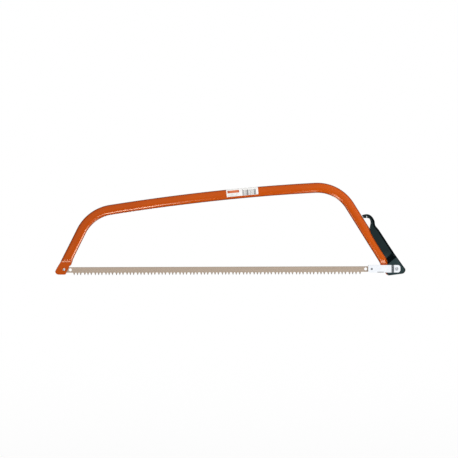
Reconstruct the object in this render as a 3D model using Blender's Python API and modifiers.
"""Bow saw: bent oval-tube bow, thirty-inch raker blade, over-centre tension lever.

Drawn in millimetres and degrees with X = 0 midway between the two blade pins and
Z = 0 on the pin line, then moved so that the origin is the centre of the bottom of
the bounding box. +X runs towards the tension lever, +Z towards the bow, and -Y is
the front. The nose is the end of the bow away from the lever.
"""

from contextlib import contextmanager
from math import cos, hypot, pi, radians, sin

import bmesh
import bpy
from mathutils import Matrix, Vector

MM = 0.001
SHIFT_X, SHIFT_Z = 30.0, -16.2        # bottom centre of the bounding box as drawn

# ------------------------------------------------------------ shared points
PIN_X = 373.4                         # half the distance between the blade pins
NOSE_PIN = (-PIN_X, 0.0)
LINK_PIN = (PIN_X, 0.0)
LEVER_PIVOT = (421.0, -4.2)           # rivet: lever on the bow
LINK_PIVOT = (434.0, 0.0)             # rivet: link on the lever

# ---------------------------------------------------------- rivets and pins
RIVET_R = 3.0                         # lever pivot rivet's shank
LINK_RIVET_R = 2.5
RIVET_PLAY = 0.1
PIN_R = 2.2
PIN_PLAY = 0.15
PIN_CHAMFER = 0.5

# --------------------------------------------------------------------- tube
TUBE_HALF_T = 6.2
TUBE_WALL = 1.2
NOSE_LEG_HALF_W, TOP_HALF_W, LEVER_LEG_HALF_W = 12.0, 12.2, 11.65
OVAL_POWER = 0.86                     # below 1 the oval is fuller than an ellipse
RING = 24                             # points round the tube
UNPRESSED = 2 * TUBE_HALF_T           # press limit that leaves the oval whole

# bow centreline, from the nose to the lever
BOW_START = (-379.53, -0.97)
BOW_HEADING = 63.39
NOSE_BEND, NOSE_BEND_R = 54.56, 95.3
LEVER_BEND, LEVER_BEND_R = 61.04, 92.8
# (length, turn, rings, half width at the end)
BOW_PIECES = (
    (106.2, 0.0, 1, NOSE_LEG_HALF_W),
    (NOSE_BEND_R * radians(NOSE_BEND), -NOSE_BEND, 12, TOP_HALF_W),
    (261.1, -2.87, 5, TOP_HALF_W),
    (240.65, -3.06, 5, TOP_HALF_W),
    (LEVER_BEND_R * radians(LEVER_BEND), -LEVER_BEND, 12, LEVER_LEG_HALF_W),
    (147.0, 0.0, 1, LEVER_LEG_HALF_W),
)

# nose end, flattened to a fork that holds the blade
FORK_HALF_T = 2.1
FORK_HALF_SLOT = 0.75
FORK_EDGE_WALL = 1.5
FORK_OFFSET = 0.9                     # the flat's shift along +X from the centreline
FORK_FLAT_TOP = 18.4
FORK_TOP_HALF_W = 12.9
# (height, half width) down to up
FORK_FLAT = ((-17.0, 14.9), (-8.0, 14.6), (5.0, 14.2), (FORK_FLAT_TOP, FORK_TOP_HALF_W))
PRESS_HEIGHT = 7.6                    # height of the steep press mark above the flat
PRESS_SLOPE = 0.56
PRESS_TOP_HALF_W = NOSE_LEG_HALF_W + 0.3
FORK_HOLE = (-374.0, 0.6)
FORK_HOLE_R = 3.5

# lever end, pressed solid to a tab
TAB_HALF_T = 1.3
TAB_TOP_HALF_W, TAB_HALF_W = 12.2, 13.5
TAB_PRESS_TOP, TAB_FLAT_TOP = 22.0, 12.3
TAB_FLAT_HEIGHTS = (8.5, -18.0)
TAB_CORNER, TAB_KINK = 1.0, 1.25      # outward of the corner the press mark climbs
TAB_END_R = 10.8
TAB_ARC_START, TAB_ARC_END = 62.0, -104.0

# -------------------------------------------------------------------- blade
BLADE_HALF_T = 0.45
BLADE_BACK, BLADE_GULLET, BLADE_TIP = 6.4, -7.0, -13.2      # heights
BLADE_HOLE_R = 3.6
BLADE_SPARE_X = 359.0                 # spare hole at each end
BLADE_NOSE_PLAY = (-0.93, 0.77)       # nose hole's centre from the nose pin
BLADE_END = 6.5                       # blade beyond its end holes
BACK_CORNER_R, TOOTH_SIDE_CORNER_R = 2.5, 1.5
TOOTH_FIRST, TOOTH_LAST = -352.3, 350.0
TOOTH_STEP, TOOTH_GROUP = 7.9, 25.75
TEETH_PER_GROUP = 3
TOOTH_BASE, TOOTH_POINT = 5.2, 0.6
TOOTH_SET = 0.35
# right half of a tooth, gullet to tip: (x from the tooth's middle, z)
TOOTH_SIDE = (
    (TOOTH_BASE / 2 + 0.5, BLADE_GULLET),
    (TOOTH_BASE / 2 - 0.25, BLADE_GULLET - 1.0),
    (TOOTH_POINT / 2, BLADE_TIP),
)

# -------------------------------------------------------------------- lever
LEVER_SHEET = 1.2
LEVER_NARROW, LEVER_WIDE = 2.8, 7.8   # outer half widths of the channel
BACK_ROUND_R = 6.6                    # rounding along the channel's back
BACK_FLAT = 0.4                       # least half width left flat on the back
FLARE_LEAD, FLARE_RISE = 1.10, 0.75   # how soon and how briskly it flares to full width
FLARE_SECTIONS = 8

# channel sections: (edge point on the open side, point on the back)
LEVER_FOOT = (
    ((414.7, -16.2), (448.5, -11.9)), ((412.6, -13.8), (451.8, -10.4)),
    ((410.4, -11.3), (454.0, -8.0)), ((408.8, -9.2), (455.5, -5.4)),
    ((408.6, -6.8), (456.0, -2.6)), ((409.0, -4.4), (455.3, 0.2)),
    ((410.2, 0.6), (452.0, 4.7)), ((411.3, 5.4), (443.6, 16.5)),
    ((412.5, 11.6), (434.6, 29.5)),
)
LEVER_FLARE = (
    LEVER_FOOT[-1],
    ((412.4, 15.8), (431.9, 33.3)), ((411.2, 20.0), (429.2, 37.2)),
    ((409.4, 24.4), (426.5, 41.3)), ((407.2, 28.6), (423.8, 45.4)),
)
LEVER_GRIP = (
    ((402.9, 34.9), (416.4, 56.6)), ((390.6, 54.2), (403.4, 76.6)),
    ((383.5, 65.9), (396.2, 87.8)), ((376.8, 77.8), (390.7, 96.0)),
    ((372.7, 85.6), (387.2, 100.2)), ((370.4, 92.6), (384.0, 104.0)),
    ((369.8, 99.5), (382.2, 107.6)), ((371.0, 106.6), (381.8, 111.8)),
    ((371.9, 112.4), (381.0, 116.4)), ((371.4, 116.8), (379.1, 120.9)),
    ((370.2, 120.4), (376.2, 125.4)), ((368.2, 122.6), (372.6, 129.2)),
    ((365.4, 123.6), (368.2, 132.0)), ((362.2, 123.8), (363.0, 133.3)),
    ((358.8, 123.7), (357.6, 132.9)), ((355.2, 123.6), (350.6, 131.1)),
)
# slit in the hook at the lever's top: (x, z)
HOOK_SLIT = ((361.0, 121.0), (363.2, 121.0), (363.2, 128.2), (362.1, 129.2), (361.0, 128.2))

# --------------------------------------------------------------------- link
LINK_SHEET = 1.5
LINK_WIDE, LINK_NARROW = 7.1, 5.4     # outer half spacing at the blade and at the lever
LINK_WIDE_IN = LINK_WIDE - LINK_SHEET
LINK_NARROW_IN = LINK_NARROW - LINK_SHEET
LINK_X0, LINK_X1 = 364.8, 443.2
LINK_STEP0, LINK_STEP1 = 421.3, 427.8
LINK_STEP_LAG = 0.7                   # outer faces step this much later
LINK_Z0, LINK_Z1 = -8.8, 9.4
LINK_CORNER_R, LINK_END_R = 4.0, 6.5
LINK_END_FLAT = 9.0                   # straight edges stop this far from the lever end
BRIDGE_X0, BRIDGE_X1 = 386.8, 403.0
FOLD_R = 2.6                          # outside of the bridge's folds
FOLD_LEG = 5.0
FOLD_INSET = 0.02                     # the fold's legs sit this far inside the strips' faces
BOSS_R, BOSS_FLOOR_R, BOSS_REACH = 7.0, 4.6, 1.1
COLLAR_R = 4.0

# ------------------------------------------------------------------ washers
WASHER_IN, WASHER_OUT = 2.65, 5.0     # radii
WASHER_FACE, WASHER_THICK = 2.95, 0.8

# -------------------------------------------------------------------- label
LABEL_X0, LABEL_X1 = 21.5, 98.4
LABEL_THICK, LABEL_GAP = 0.15, 0.14
LABEL_ROWS = 9

CUT_REACH = 12.0                      # half length of the cutters that pass right through
CIRCLE_STEPS = 32
SHARP_ANGLE = 35.0


# ----------------------------------------------------------------- geometry
def place(x, y, z):
    """Drawn millimetres to scene metres."""
    return Vector(((x - SHIFT_X) * MM, y * MM, (z - SHIFT_Z) * MM))


def lerp(a, b, t):
    return a + (b - a) * t


def mix(start, end, t):
    return tuple(lerp(a, b, t) for a, b in zip(start, end))


def smooth(t):
    t = min(1.0, t)
    return t * t * (3.0 - 2.0 * t)


def polar(centre, distance, angle):
    return (centre[0] + distance * cos(radians(angle)),
            centre[1] + distance * sin(radians(angle)))


def arc(centre, radius, start, end, steps):
    return [polar(centre, radius, lerp(start, end, i / steps)) for i in range(steps + 1)]


def circle(centre, radius):
    angles = [2 * pi * i / CIRCLE_STEPS for i in range(CIRCLE_STEPS)]
    return [(centre[0] + radius * cos(a), centre[1] + radius * sin(a)) for a in angles]


# ------------------------------------------------------------- mesh helpers
@contextmanager
def edited(ob):
    bm = bmesh.new()
    bm.from_mesh(ob.data)
    yield bm
    bm.to_mesh(ob.data)
    bm.free()


def new_collection(name):
    collection = bpy.data.collections.new(name)
    bpy.context.scene.collection.children.link(collection)
    return collection


def add_mesh(name, mesh, collection):
    ob = bpy.data.objects.new(name, mesh)
    collection.objects.link(ob)
    return ob


def add_row(verts, points):
    """Append points to verts and return their indices."""
    start = len(verts)
    verts.extend(points)
    return list(range(start, len(verts)))


def bands(rows, closed=False, inward=False):
    """Quads between neighbouring rows of vertex indices."""
    faces = []
    for near, far in zip(rows, rows[1:]):
        if closed:
            near = near + near[:1]
            far = far + far[:1]
        for i in range(len(near) - 1):
            if inward:
                faces.append((near[i + 1], near[i], far[i], far[i + 1]))
            else:
                faces.append((near[i], near[i + 1], far[i + 1], far[i]))
    return faces


def from_faces(name, verts, faces):
    mesh = bpy.data.meshes.new(name)
    mesh.from_pydata([tuple(v) for v in verts], [], faces)
    mesh.update()
    return add_mesh(name, mesh, parts)


def close_up(ob):
    """Merge doubled vertices and turn a closed mesh's faces outward."""
    with edited(ob) as bm:
        bmesh.ops.remove_doubles(bm, verts=bm.verts, dist=1e-6)
        bmesh.ops.recalc_face_normals(bm, faces=bm.faces)


def face_towards(ob, direction):
    """Turn an open sheet so that its face furthest along direction faces that way."""
    direction = Vector(direction)
    with edited(ob) as bm:
        bmesh.ops.recalc_face_normals(bm, faces=bm.faces)
        furthest = max(bm.faces, key=lambda f: f.calc_center_median().dot(direction))
        if furthest.normal.dot(direction) < 0.0:
            bmesh.ops.reverse_faces(bm, faces=bm.faces)


def thicken(ob, name, thickness, offset):
    mod = ob.modifiers.new(name, "SOLIDIFY")
    mod.thickness = thickness * MM
    mod.offset = offset
    mod.use_even_offset = True
    return mod


def extruded(name, loops, low, high, turn, collection):
    """Fill 2D loops (metres) and extrude them; turn carries the result into place."""
    curve = bpy.data.curves.new(name + "_outline", "CURVE")
    curve.dimensions = "2D"
    curve.fill_mode = "BOTH"
    curve.extrude = (high - low) / 2.0
    for loop in loops:
        spline = curve.splines.new("POLY")
        spline.points.add(len(loop) - 1)
        for point, (u, v) in zip(spline.points, loop):
            point.co = (u, v, 0.0, 1.0)
        spline.use_cyclic_u = True
    outline = bpy.data.objects.new(name + "_outline", curve)
    collection.objects.link(outline)
    bpy.context.view_layer.update()
    graph = bpy.context.evaluated_depsgraph_get()
    mesh = bpy.data.meshes.new_from_object(outline.evaluated_get(graph))
    mesh.name = name
    mesh.transform(turn @ Matrix.Translation((0.0, 0.0, (low + high) / 2.0)))
    bpy.data.objects.remove(outline, do_unlink=True)
    bpy.data.curves.remove(curve)
    ob = add_mesh(name, mesh, collection)
    close_up(ob)
    return ob


def side_plate(name, loops, half_t, collection):
    """Loops in X and Z, extruded along Y to both sides of Y = 0."""
    turn = Matrix(((1, 0, 0, 0), (0, 0, -1, 0), (0, 1, 0, 0), (0, 0, 0, 1)))
    scaled = [[((x - SHIFT_X) * MM, (z - SHIFT_Z) * MM) for x, z in loop] for loop in loops]
    return extruded(name, scaled, -half_t * MM, half_t * MM, turn, collection)


def plan_plate(name, loops, z0, z1, collection):
    """Loops in X and Y, extruded along Z."""
    scaled = [[((x - SHIFT_X) * MM, y * MM) for x, y in loop] for loop in loops]
    return extruded(name, scaled, (z0 - SHIFT_Z) * MM, (z1 - SHIFT_Z) * MM,
                    Matrix.Identity(4), collection)


def end_plate(name, loops, x0, x1, collection):
    """Loops in Y and Z, extruded along X."""
    turn = Matrix(((0, 0, 1, 0), (1, 0, 0, 0), (0, 1, 0, 0), (0, 0, 0, 1)))
    scaled = [[(y * MM, (z - SHIFT_Z) * MM) for y, z in loop] for loop in loops]
    return extruded(name, scaled, (x0 - SHIFT_X) * MM, (x1 - SHIFT_X) * MM, turn, collection)


def turned(name, centre, profile, collection):
    """Body of revolution about a Y axis, from a profile of (radius, y) points."""
    mesh = bpy.data.meshes.new(name)
    mesh.from_pydata([(r * MM, 0.0, -y * MM) for r, y in profile],
                     [(i, i + 1) for i in range(len(profile) - 1)], [])
    ob = add_mesh(name, mesh, collection)
    mod = ob.modifiers.new("turn", "SCREW")
    mod.axis = "Z"
    mod.angle = 2 * pi
    mod.steps = CIRCLE_STEPS
    mod.render_steps = CIRCLE_STEPS
    mod.use_merge_vertices = True
    mod.merge_threshold = 0.00001
    ob.rotation_euler = (pi / 2, 0.0, 0.0)
    ob.location = place(centre[0], 0.0, centre[1])
    return ob


def drill(target, name, centre, radius):
    """Cut a round hole along Y right through target."""
    mesh = bpy.data.meshes.new(name)
    bm = bmesh.new()
    bmesh.ops.create_cone(bm, cap_ends=True, segments=CIRCLE_STEPS, radius1=radius * MM,
                          radius2=radius * MM, depth=2 * CUT_REACH * MM)
    bm.to_mesh(mesh)
    bm.free()
    cutter = add_mesh(name, mesh, cutters)
    cutter.rotation_euler = (pi / 2, 0.0, 0.0)
    cutter.location = place(centre[0], 0.0, centre[1])
    combine(target, cutter)


def combine(target, tool, operation="DIFFERENCE"):
    mod = target.modifiers.new(tool.name, "BOOLEAN")
    mod.operation = operation
    mod.solver = "EXACT"
    mod.object = tool
    tool.hide_render = True
    tool.display_type = "WIRE"


def origin_at(ob, centre):
    point = place(centre[0], 0.0, centre[1])
    ob.data.transform(Matrix.Translation(-point))
    ob.location = point


def finish(ob, mat):
    """Give a piece its material, and smooth shading broken at sharp edges."""
    ob.data.materials.append(mat)
    with edited(ob) as bm:
        for face in bm.faces:
            face.smooth = True
        for edge in bm.edges:
            shallow = edge.calc_face_angle(0.0) < radians(SHARP_ANGLE)
            edge.smooth = len(edge.link_faces) == 2 and shallow


def material(name, colour, metallic, roughness):
    mat = bpy.data.materials.new(name)
    mat.use_nodes = True
    shader = mat.node_tree.nodes["Principled BSDF"]
    shader.inputs["Base Color"].default_value = (*colour, 1.0)
    shader.inputs["Metallic"].default_value = metallic
    shader.inputs["Roughness"].default_value = roughness
    return mat


# ---------------------------------------------------------------------- bow
def bow_stations():
    """Rings from the top of the nose leg to the lever end: (x, z, heading, half width)."""
    x, z = BOW_START
    heading = BOW_HEADING
    start_w = NOSE_LEG_HALF_W
    stations = []
    for length, turn, steps, end_w in BOW_PIECES:
        for i in range(1, steps + 1):
            t = i / steps
            here = heading + turn * t
            if turn == 0.0:
                ring_x, ring_z = polar((x, z), length * t, heading)
            else:
                radius = length / radians(turn)
                ring_x = x + radius * (sin(radians(here)) - sin(radians(heading)))
                ring_z = z - radius * (cos(radians(here)) - cos(radians(heading)))
            stations.append((ring_x, ring_z, here, lerp(start_w, end_w, t)))
        x, z, heading, _ = stations[-1]
        start_w = end_w
    return stations


def ring_points(x, z, heading, half_w, half_t, press, shear=0.0, kink=0.0):
    """Oval ring about the centreline, its sides pressed flat at y = press.

    It starts at the bow's outer edge. shear slides points along the heading in
    proportion to their distance outward; kink slides those beyond TAB_CORNER back.
    """
    ca, sa = cos(radians(heading)), sin(radians(heading))
    points = []
    for i in range(RING):
        angle = 2 * pi * i / RING
        out = half_w * cos(angle)
        y = min(half_t * abs(sin(angle)) ** OVAL_POWER, press)
        if sin(angle) < 0.0:
            y = -y
        along = shear * out
        if out > TAB_CORNER:
            along -= kink * (out - TAB_CORNER)
        points.append(place(x - sa * out + ca * along, y, z + ca * out + sa * along))
    return points


def ring_pair(x, z, heading, half_w, press, bore, shear, kink=0.0):
    """Outer ring and inner ring; bore is (half width, press), or None where solid."""
    outer = ring_points(x, z, heading, half_w, TUBE_HALF_T, press, shear, kink)
    if bore is None:
        return outer, None
    bore_w, bore_press = bore
    inner = ring_points(x, z, heading, bore_w, TUBE_HALF_T - TUBE_WALL, bore_press, shear, kink)
    return outer, inner


def round_pair(x, z, heading, half_w, shear=0.0, kink=0.0):
    """Rings of the unpressed tube."""
    return ring_pair(x, z, heading, half_w, UNPRESSED, (half_w - TUBE_WALL, UNPRESSED),
                     shear, kink)


def level_shear(heading):
    """Shear that makes a ring level."""
    return -cos(radians(heading)) / sin(radians(heading))


def x_at_height(start, heading, height):
    """X of the line through start at the given height."""
    return start[0] + (height - start[1]) / sin(radians(heading)) * cos(radians(heading))


def fork_rings():
    level = level_shear(BOW_HEADING)

    def fork_pair(height, half_w, offset, rise):
        x = x_at_height(BOW_START, BOW_HEADING, height) + offset
        bore = (half_w - FORK_EDGE_WALL, FORK_HALF_SLOT + rise)
        return ring_pair(x, height, BOW_HEADING, half_w, FORK_HALF_T + rise, bore, level)

    pairs = [fork_pair(height, half_w, FORK_OFFSET, 0.0) for height, half_w in FORK_FLAT]
    for t in (0.25, 0.5, 0.75, 1.0):
        pairs.append(fork_pair(lerp(FORK_FLAT_TOP, FORK_FLAT_TOP + PRESS_HEIGHT, t),
                               lerp(FORK_TOP_HALF_W, PRESS_TOP_HALF_W, smooth(t)),
                               FORK_OFFSET * (1.0 - t), PRESS_SLOPE * t * PRESS_HEIGHT))
    # the rings ease from level to square across the tube
    for distance, share in ((48.0, 0.4), (66.0, 0.0)):
        x, z = polar(BOW_START, distance, BOW_HEADING)
        pairs.append(round_pair(x, z, BOW_HEADING, NOSE_LEG_HALF_W, share * level))
    return pairs


def tab_rings(x, z, heading, half_w):
    """Rings about the bow's last station."""
    level = level_shear(heading)
    pairs = []
    # the rings ease from square to level and kinked
    for distance, share in ((-30.0, 0.0), (-12.0, 0.5)):
        ring_x, ring_z = polar((x, z), distance, heading)
        pairs.append(round_pair(ring_x, ring_z, heading, half_w, share * level,
                                share * TAB_KINK))

    def tab_pair(height, wide, press, bore):
        ring_x = x_at_height((x, z), heading, height)
        return ring_pair(ring_x, height, heading, wide, press, bore, level, TAB_KINK)

    for t in (0.0, 0.25, 0.5, 0.75, 1.0):
        press = lerp(TUBE_HALF_T, TAB_HALF_T, t)
        wide = lerp(half_w, TAB_TOP_HALF_W, t * t)
        bore = (wide - TUBE_WALL, press - TUBE_WALL) if t <= 0.5 else None
        pairs.append(tab_pair(lerp(TAB_PRESS_TOP, TAB_FLAT_TOP, t), wide, press, bore))
    pairs += [tab_pair(height, TAB_HALF_W, TAB_HALF_T, None) for height in TAB_FLAT_HEIGHTS]
    return pairs


def make_tube():
    stations = bow_stations()
    pairs = fork_rings()
    pairs += [round_pair(*station) for station in stations[:-1]]
    pairs += tab_rings(*stations[-1])
    verts, outer, inner = [], [], []
    for outside, inside in pairs:
        outer.append(add_row(verts, outside))
        if inside is not None:
            inner.append(add_row(verts, inside))
    faces = bands(outer, closed=True)
    faces += bands(inner, closed=True, inward=True)
    faces += bands([outer[0], inner[0]], closed=True, inward=True)      # open nose end
    faces += [tuple(outer[-1]), tuple(inner[-1])]
    tube = from_faces("frame_tube", verts, faces)
    close_up(tube)
    return tube


def make_frame():
    tube = make_tube()
    drill(tube, "tab_hole_cutter", LEVER_PIVOT, RIVET_R + RIVET_PLAY)
    drill(tube, "fork_hole_cutter", FORK_HOLE, FORK_HOLE_R)

    # fork's end: +X side cut away above a square foot, rounded corner on the -X side
    fork_cut = [(-340.0, 13.5), (-355.7, 12.3), (-361.8, 8.7), (-362.9, 4.5),
                (-370.1, -9.6), (-371.6, -11.6)]
    fork_cut += arc((-387.6, -3.6), 8.0, -90.0, -175.0, 7)
    fork_cut += [(-402.0, -1.0), (-410.0, -45.0), (-340.0, -45.0)]
    combine(tube, side_plate("fork_end_cutter", [fork_cut], CUT_REACH, cutters))

    # tab's end: round about the lever rivet, with the inner corner left long
    tab_cut = [polar(LEVER_PIVOT, 45.0, TAB_ARC_START)]
    tab_cut += arc(LEVER_PIVOT, TAB_END_R, TAB_ARC_START, TAB_ARC_END, 16)
    tab_cut += [(411.3, -14.9), (400.0, -2.6), (376.0, -30.0), (425.0, -70.0),
                (485.0, -30.0), (485.0, 30.0)]
    combine(tube, side_plate("tab_end_cutter", [tab_cut], CUT_REACH, cutters))
    return tube


# -------------------------------------------------------------------- blade
def tooth_middles():
    middles = []
    groups = int((TOOTH_LAST - TOOTH_FIRST) // TOOTH_GROUP) + 1
    for group in range(groups):
        for i in range(TEETH_PER_GROUP):
            middle = TOOTH_FIRST + group * TOOTH_GROUP + i * TOOTH_STEP + TOOTH_BASE / 2
            if middle + TOOTH_BASE / 2 <= TOOTH_LAST + 1.0:
                middles.append(middle)
    return middles


def blade_outline(teeth):
    left = -PIN_X + BLADE_NOSE_PLAY[0] - BLADE_END
    right = PIN_X + BLADE_END
    back_z = BLADE_BACK - BACK_CORNER_R
    low_z = BLADE_GULLET + TOOTH_SIDE_CORNER_R
    points = arc((left + BACK_CORNER_R, back_z), BACK_CORNER_R, 180.0, 90.0, 4)
    points += arc((right - BACK_CORNER_R, back_z), BACK_CORNER_R, 90.0, 0.0, 4)
    points += arc((right - TOOTH_SIDE_CORNER_R, low_z), TOOTH_SIDE_CORNER_R, 0.0, -90.0, 3)
    for middle in reversed(teeth):
        points += [(middle + x, z) for x, z in TOOTH_SIDE]
        points += [(middle - x, z) for x, z in reversed(TOOTH_SIDE)]
    points += arc((left + TOOTH_SIDE_CORNER_R, low_z), TOOTH_SIDE_CORNER_R, -90.0, -180.0, 3)
    return points


def make_blade():
    teeth = tooth_middles()
    nose_hole = (NOSE_PIN[0] + BLADE_NOSE_PLAY[0], NOSE_PIN[1] + BLADE_NOSE_PLAY[1])
    holes = (nose_hole, LINK_PIN, (-BLADE_SPARE_X, 0.0), (BLADE_SPARE_X, 0.0))
    loops = [blade_outline(teeth)] + [circle(hole, BLADE_HOLE_R) for hole in holes]
    ob = side_plate("blade", loops, BLADE_HALF_T, parts)
    # the teeth are set to alternate sides
    for vert in ob.data.vertices:
        z = vert.co.z / MM + SHIFT_Z
        if z < BLADE_GULLET - 2.0:
            x = vert.co.x / MM + SHIFT_X
            nearest = min(range(len(teeth)), key=lambda i: abs(teeth[i] - x))
            lean = (BLADE_GULLET - z) / (BLADE_GULLET - BLADE_TIP)
            vert.co.y += (1 if nearest % 2 else -1) * TOOTH_SET * lean * MM
    origin_at(ob, LINK_PIN)
    return ob


# -------------------------------------------------------------------- lever
def lever_sections():
    """(edge point, back point, half width) from the foot to the hook's tip."""
    sections = [(edge, back, LEVER_NARROW) for edge, back in LEVER_FOOT]
    spans = len(LEVER_FLARE) - 1
    for i in range(1, FLARE_SECTIONS + 1):
        t = i / FLARE_SECTIONS
        span = min(spans - 1, int(t * spans))
        part = t * spans - span
        edge, back = (mix(start, end, part)
                      for start, end in zip(LEVER_FLARE[span], LEVER_FLARE[span + 1]))
        flare = smooth(FLARE_LEAD * t ** FLARE_RISE)
        sections.append((edge, back, lerp(LEVER_NARROW, LEVER_WIDE, flare)))
    sections += [(edge, back, LEVER_WIDE) for edge, back in LEVER_GRIP]
    return sections


def channel_row(edge, back, half_w):
    """The channel's outside at one section, front edge over the back to the rear edge."""
    depth = hypot(back[0] - edge[0], back[1] - edge[1])
    dx, dz = (back[0] - edge[0]) / depth, (back[1] - edge[1]) / depth
    radius = min(BACK_ROUND_R, half_w - BACK_FLAT)
    cheek = depth - radius
    side = [(0.0, half_w), (cheek * 0.5, half_w), (cheek, half_w)]
    for i in range(1, 7):
        angle = pi / 2 * i / 6
        side.append((cheek + radius * sin(angle), half_w - radius + radius * cos(angle)))
    row = side + [(depth, 0.0)] + [(u, -v) for u, v in reversed(side)]
    return [place(edge[0] + dx * u, -v, edge[1] + dz * u) for u, v in row]


def make_lever():
    verts = []
    rows = [add_row(verts, channel_row(*section)) for section in lever_sections()]
    ob = from_faces("tension_lever", verts, bands(rows))
    # the drawn surface is the channel's outside, so its front cheek has to face -Y
    face_towards(ob, (0.0, -1.0, 0.0))
    sheet = thicken(ob, "sheet", LEVER_SHEET, offset=-1.0)
    sheet.use_rim = True
    drill(ob, "lever_rivet_hole_cutter", LEVER_PIVOT, RIVET_R + RIVET_PLAY)
    drill(ob, "lever_link_hole_cutter", LINK_PIVOT, LINK_RIVET_R + RIVET_PLAY)
    combine(ob, side_plate("hook_slit_cutter", [HOOK_SLIT], CUT_REACH, cutters))
    origin_at(ob, LEVER_PIVOT)
    return ob


# --------------------------------------------------------------------- link
def link_side():
    """The link's outline seen from the side."""
    corner_x = LINK_X0 + LINK_CORNER_R
    end_x = LINK_X1 - LINK_END_R
    flat_x = LINK_X1 - LINK_END_FLAT
    side = arc((corner_x, LINK_Z1 - LINK_CORNER_R), LINK_CORNER_R, 180.0, 90.0, 6)
    side += [(flat_x, LINK_Z1)]
    side += arc((end_x, LINK_Z1 - LINK_END_R), LINK_END_R, 75.0, 12.0, 6)
    side += arc((end_x, LINK_Z0 + LINK_END_R), LINK_END_R, -12.0, -75.0, 6)
    side += [(flat_x, LINK_Z0)]
    side += arc((corner_x, LINK_Z0 + LINK_CORNER_R), LINK_CORNER_R, 270.0, 180.0, 6)
    return side


def bridge_fold():
    """U-shaped section of the bridge, in Y and Z."""
    out_w, in_w = LINK_WIDE - FOLD_INSET, LINK_WIDE_IN + FOLD_INSET
    in_r = FOLD_R - LINK_SHEET
    out_z = LINK_Z0 + FOLD_R
    in_z = LINK_Z0 + LINK_SHEET + in_r
    leg_top = LINK_Z0 + FOLD_LEG
    fold = [(-out_w, leg_top)]
    fold += arc((-out_w + FOLD_R, out_z), FOLD_R, 180.0, 270.0, 5)
    fold += arc((out_w - FOLD_R, out_z), FOLD_R, 270.0, 360.0, 5)
    fold += [(out_w, leg_top), (in_w, leg_top)]
    fold += arc((in_w - in_r, in_z), in_r, 0.0, -90.0, 4)
    fold += arc((-in_w + in_r, in_z), in_r, 270.0, 180.0, 4)
    fold += [(-in_w, leg_top)]
    return fold


def add_bridge(ob):
    """Clear the strips' lower edges at the bridge, then join them with the fold."""
    half_w = LINK_WIDE + 1.0
    z0, z1 = LINK_Z0 - 1.0, LINK_Z0 + 3.0
    corner = [(-half_w, z0), (half_w, z0), (half_w, z1), (-half_w, z1)]
    combine(ob, end_plate("link_corner_cutter", [corner], BRIDGE_X0, BRIDGE_X1, cutters))
    combine(ob, end_plate("link_bridge_tool", [bridge_fold()], BRIDGE_X0, BRIDGE_X1, cutters),
            "UNION")


def add_pin_seats(ob):
    """Inward collar on the front strip, dished boss on the back strip, pin hole through both."""
    face = LINK_WIDE_IN
    collar = [(0.0, -face - 0.7), (COLLAR_R + 0.6, -face - 0.7), (COLLAR_R + 0.6, -face + 0.4),
              (COLLAR_R, -face + 1.2), (COLLAR_R, -BOSS_REACH), (0.0, -BOSS_REACH)]
    boss = [(0.0, BOSS_REACH), (BOSS_FLOOR_R, BOSS_REACH), (BOSS_R + 0.3, face + 0.7),
            (0.0, face + 0.7)]
    floor = BOSS_REACH + 1.4
    dish = [(0.0, floor), (BOSS_FLOOR_R - 1.2, floor), (BOSS_R - 1.0, LINK_WIDE - 0.9),
            (BOSS_R, LINK_WIDE + 2.0), (0.0, LINK_WIDE + 2.0)]
    combine(ob, turned("link_collar_tool", LINK_PIN, collar, cutters), "UNION")
    combine(ob, turned("link_boss_tool_back", LINK_PIN, boss, cutters), "UNION")
    combine(ob, turned("link_dish_cutter_back", LINK_PIN, dish, cutters))
    drill(ob, "link_pin_hole_cutter", LINK_PIN, PIN_R + PIN_PLAY)


def make_link():
    """Two strips stepped in to the lever's cheeks, joined by a bridge below the blade."""
    x0, x1 = LINK_X0 - 4, LINK_X1 + 4             # spare, trimmed by the side outline
    strip = [(x0, LINK_WIDE_IN), (LINK_STEP0, LINK_WIDE_IN), (LINK_STEP1, LINK_NARROW_IN),
             (x1, LINK_NARROW_IN), (x1, LINK_NARROW), (LINK_STEP1 + LINK_STEP_LAG, LINK_NARROW),
             (LINK_STEP0 + LINK_STEP_LAG, LINK_WIDE), (x0, LINK_WIDE)]
    mirrored = [(x, -y) for x, y in strip]
    ob = plan_plate("tension_link", [strip, mirrored], LINK_Z0 - 3, LINK_Z1 + 3, parts)
    loops = [link_side(), circle(LINK_PIVOT, LINK_RIVET_R + RIVET_PLAY)]
    combine(ob, side_plate("link_outline_cutter", loops, 9.0, cutters), "INTERSECT")
    add_bridge(ob)
    add_pin_seats(ob)
    origin_at(ob, LINK_PIVOT)
    return ob


# ------------------------------------------------- rivets, washers and pins
def make_rivet(name, centre, face, shank_r, head):
    """Rivet with like heads at both ends; head rows are (radius, height above the face)."""
    front = [(r, -face - height) for r, height in head] + [(shank_r, -face)]
    return turned(name, centre, front + [(r, -y) for r, y in reversed(front)], parts)


def make_pivot_rivet():
    head = ((0.0, 0.8), (2.2, 0.76), (4.1, 0.55), (5.1, 0.25), (5.3, 0.0))
    return make_rivet("lever_pivot_rivet", LEVER_PIVOT, 2.92, RIVET_R, head)


def make_link_rivet():
    head = ((0.0, 0.5), (1.2, 0.5), (1.7, 1.1), (2.6, 1.15), (3.6, 0.75), (4.0, 0.2), (4.0, 0.0))
    return make_rivet("link_rivet", LINK_PIVOT, LINK_NARROW + 0.1, LINK_RIVET_R, head)


def make_washer(name, y0):
    y1 = y0 + WASHER_THICK
    profile = [(WASHER_OUT, y0), (WASHER_OUT, y1), (WASHER_IN, y1), (WASHER_IN, y0),
               (WASHER_OUT, y0)]
    return turned(name, LINK_PIVOT, profile, parts)


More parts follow.
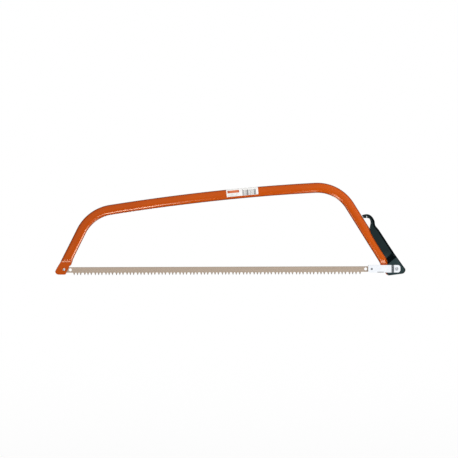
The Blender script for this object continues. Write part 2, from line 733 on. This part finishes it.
def make_pin(name, centre, front, back, head_r):
    """Plain pin with a chamfered front end and a low head at the back."""
    profile = [(0.0, -front), (PIN_R - PIN_CHAMFER, -front), (PIN_R, -front + PIN_CHAMFER),
               (PIN_R, back), (head_r, back), (head_r, back + 0.7), (head_r - 0.6, back + 1.2),
               (0.0, back + 1.2)]
    return turned(name, centre, profile, parts)


# -------------------------------------------------------------------- label
def make_label():
    """Vinyl wrapped over the bow's top edge, down both sides."""
    stations = bow_stations()
    reach = RING // 3                  # ring points covered on each side of the top edge
    verts, rows = [], []
    for i in range(LABEL_ROWS):
        x = lerp(LABEL_X0, LABEL_X1, i / (LABEL_ROWS - 1))
        before, after = next((a, b) for a, b in zip(stations, stations[1:])
                             if a[0] <= x <= b[0])
        t = (x - before[0]) / (after[0] - before[0])
        z, heading, half_w = mix(before[1:], after[1:], t)
        ring = ring_points(x, z, heading, half_w + LABEL_GAP, TUBE_HALF_T + LABEL_GAP, UNPRESSED)
        rows.append(add_row(verts, [ring[k % RING] for k in range(-reach, reach + 1)]))
    ob = from_faces("label", verts, bands(rows))
    face_towards(ob, (0.0, 0.0, 1.0))
    thicken(ob, "film", LABEL_THICK, offset=1.0)
    return ob


# -------------------------------------------------------------------- build
for old in list(bpy.data.objects):
    bpy.data.objects.remove(old, do_unlink=True)

parts = new_collection("bow_saw")
cutters = new_collection("cutters")

enamel = material("frame_enamel", colour=(0.56, 0.089, 0.011), metallic=0.0, roughness=0.32)
lever_paint = material("lever_enamel", colour=(0.028, 0.042, 0.052), metallic=0.1, roughness=0.42)
zinc = material("link_zinc", colour=(0.78, 0.80, 0.83), metallic=1.0, roughness=0.28)
blade_steel = material("blade_steel", colour=(0.47, 0.40, 0.33), metallic=0.9, roughness=0.36)
rivet_steel = material("rivet_steel", colour=(0.60, 0.61, 0.62), metallic=1.0, roughness=0.30)
pin_steel = material("pin_steel", colour=(0.55, 0.55, 0.54), metallic=1.0, roughness=0.33)
vinyl = material("label_vinyl", colour=(0.86, 0.86, 0.85), metallic=0.0, roughness=0.45)

finish(make_frame(), enamel)
finish(make_blade(), blade_steel)
finish(make_lever(), lever_paint)
finish(make_link(), zinc)
finish(make_pivot_rivet(), rivet_steel)
finish(make_link_rivet(), rivet_steel)
finish(make_washer("link_washer_front", -WASHER_FACE - WASHER_THICK), rivet_steel)
finish(make_washer("link_washer_back", WASHER_FACE), rivet_steel)
finish(make_pin("blade_pin_nose", NOSE_PIN, front=FORK_HALF_T + 1.0, back=FORK_HALF_T + 0.3,
                head_r=4.6), pin_steel)
finish(make_pin("blade_pin_link", LINK_PIN, front=LINK_WIDE - 2.5, back=BOSS_REACH + 1.7,
                head_r=3.0), pin_steel)
finish(make_label(), vinyl)
